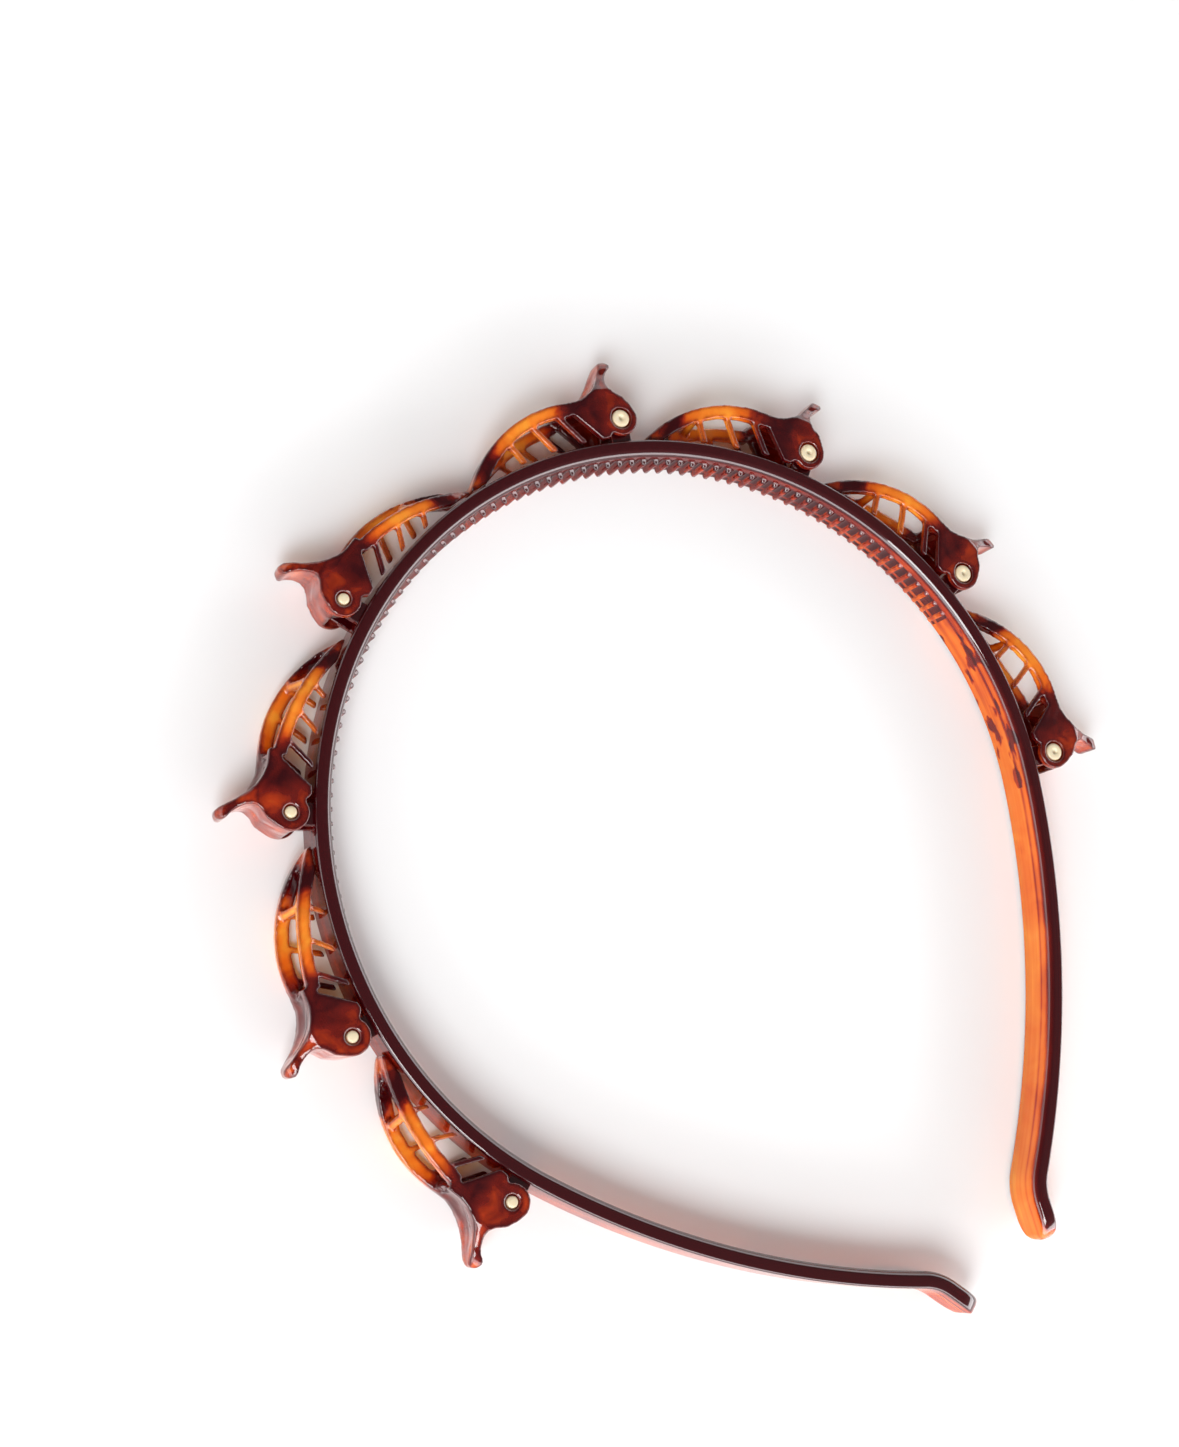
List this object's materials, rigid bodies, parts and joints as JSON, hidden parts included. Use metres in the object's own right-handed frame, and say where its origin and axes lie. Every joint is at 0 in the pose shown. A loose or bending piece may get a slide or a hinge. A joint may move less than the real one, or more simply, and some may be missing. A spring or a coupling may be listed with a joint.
{
  "type": "clip headband",
  "caption": "Tortoiseshell plastic comb headband with a row of small sprung claw clips round its outside.",
  "frame": {"origin": "middle of the part's box, on the plane that it lies on", "axes": "+Z along the hoop's axis, +Y towards the crown, the legs towards -Y"},
  "size_m": [0.154, 0.1584, 0.0088],
  "materials": {
    "tortoiseshell": "polished, translucent",
    "pin_plastic": "satin",
    "spring_wire": "drawn wire"
  },
  "bodies": {
    "band": {"band": "tortoiseshell", "hinge_pin_1": "pin_plastic", "hinge_pin_2": "pin_plastic", "hinge_pin_3": "pin_plastic", "hinge_pin_4": "pin_plastic", "hinge_pin_5": "pin_plastic", "hinge_pin_6": "pin_plastic", "hinge_pin_7": "pin_plastic", "hinge_pin_8": "pin_plastic", "spring_1": "spring_wire", "spring_2": "spring_wire", "spring_3": "spring_wire", "spring_4": "spring_wire", "spring_5": "spring_wire", "spring_6": "spring_wire", "spring_7": "spring_wire", "spring_8": "spring_wire"},
    "clip_1": {"clip_jaw_1": "tortoiseshell"},
    "clip_2": {"clip_jaw_2": "tortoiseshell"},
    "clip_3": {"clip_jaw_3": "tortoiseshell"},
    "clip_4": {"clip_jaw_4": "tortoiseshell"},
    "clip_5": {"clip_jaw_5": "tortoiseshell"},
    "clip_6": {"clip_jaw_6": "tortoiseshell"},
    "clip_7": {"clip_jaw_7": "tortoiseshell"},
    "clip_8": {"clip_jaw_8": "tortoiseshell"}
  },
  "joints": [
    {"name": "clip_1_hinge", "type": "hinge", "parent": "band", "child": "clip_1", "pos_m": [0.06117, -0.01761, 0.0044], "axis": [0, 0, -1], "range_deg": [0, 25], "stiffness_Nm_per_rad": 0.006, "springref_deg": -17.19},
    {"name": "clip_2_hinge", "type": "hinge", "parent": "band", "child": "clip_2", "pos_m": [0.06641, 0.01586, 0.0044], "axis": [0, 0, -1], "range_deg": [0, 25], "stiffness_Nm_per_rad": 0.006, "springref_deg": -17.19},
    {"name": "clip_3_hinge", "type": "hinge", "parent": "band", "child": "clip_3", "pos_m": [0.05454, 0.04759, 0.0044], "axis": [0, 0, -1], "range_deg": [0, 25], "stiffness_Nm_per_rad": 0.006, "springref_deg": -17.19},
    {"name": "clip_4_hinge", "type": "hinge", "parent": "band", "child": "clip_4", "pos_m": [0.02863, 0.06941, 0.0044], "axis": [0, 0, -1], "range_deg": [0, 25], "stiffness_Nm_per_rad": 0.006, "springref_deg": -17.19},
    {"name": "clip_5_hinge", "type": "hinge", "parent": "band", "child": "clip_5", "pos_m": [-0.02863, 0.06941, 0.0044], "axis": [0, 0, 1], "range_deg": [0, 25], "stiffness_Nm_per_rad": 0.006, "springref_deg": -17.19},
    {"name": "clip_6_hinge", "type": "hinge", "parent": "band", "child": "clip_6", "pos_m": [-0.05454, 0.04759, 0.0044], "axis": [0, 0, 1], "range_deg": [0, 25], "stiffness_Nm_per_rad": 0.006, "springref_deg": -17.19},
    {"name": "clip_7_hinge", "type": "hinge", "parent": "band", "child": "clip_7", "pos_m": [-0.06641, 0.01586, 0.0044], "axis": [0, 0, 1], "range_deg": [0, 25], "stiffness_Nm_per_rad": 0.006, "springref_deg": -17.19},
    {"name": "clip_8_hinge", "type": "hinge", "parent": "band", "child": "clip_8", "pos_m": [-0.06117, -0.01761, 0.0044], "axis": [0, 0, 1], "range_deg": [0, 25], "stiffness_Nm_per_rad": 0.006, "springref_deg": -17.19}
  ]
}
